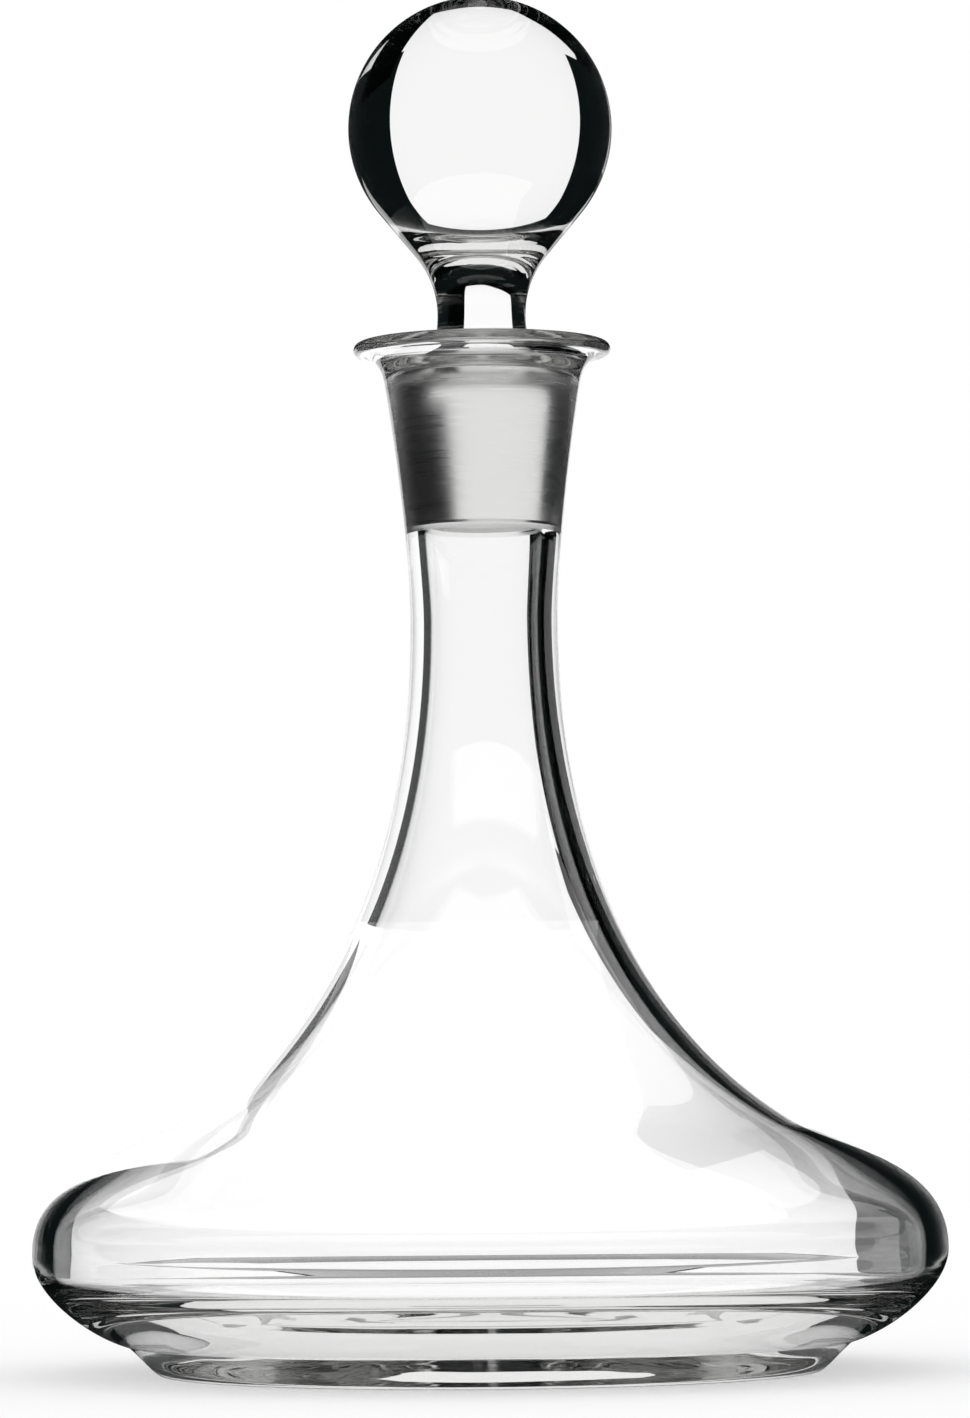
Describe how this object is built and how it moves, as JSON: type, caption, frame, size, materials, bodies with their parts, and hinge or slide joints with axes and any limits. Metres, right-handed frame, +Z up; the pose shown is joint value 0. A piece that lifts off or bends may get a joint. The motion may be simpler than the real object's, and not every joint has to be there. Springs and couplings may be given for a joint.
{
  "type": "ship's decanter",
  "caption": "Clear glass ship's decanter: broad low bowl sweeping up to a tall neck with a turned-out lip, closed by a solid ball stopper ground into the mouth.",
  "frame": {"origin": "middle of the standing ring, on the table", "axes": "+Z up along the neck, the line the stopper lifts along; X and Y level, any way round because the object is round"},
  "size_m": [0.2, 0.2, 0.3024],
  "materials": {
    "clear_glass": "fire-polished clear glass; the plug and its seat are ground matt"
  },
  "bodies": {
    "decanter": {"decanter_body": "clear_glass"},
    "stopper": {"ball_stopper": "clear_glass"}
  },
  "joints": [
    {"name": "stopper_lift", "type": "slide", "parent": "decanter", "child": "stopper", "axis": [0, 0, 1], "range_m": [0, 0.08]}
  ]
}
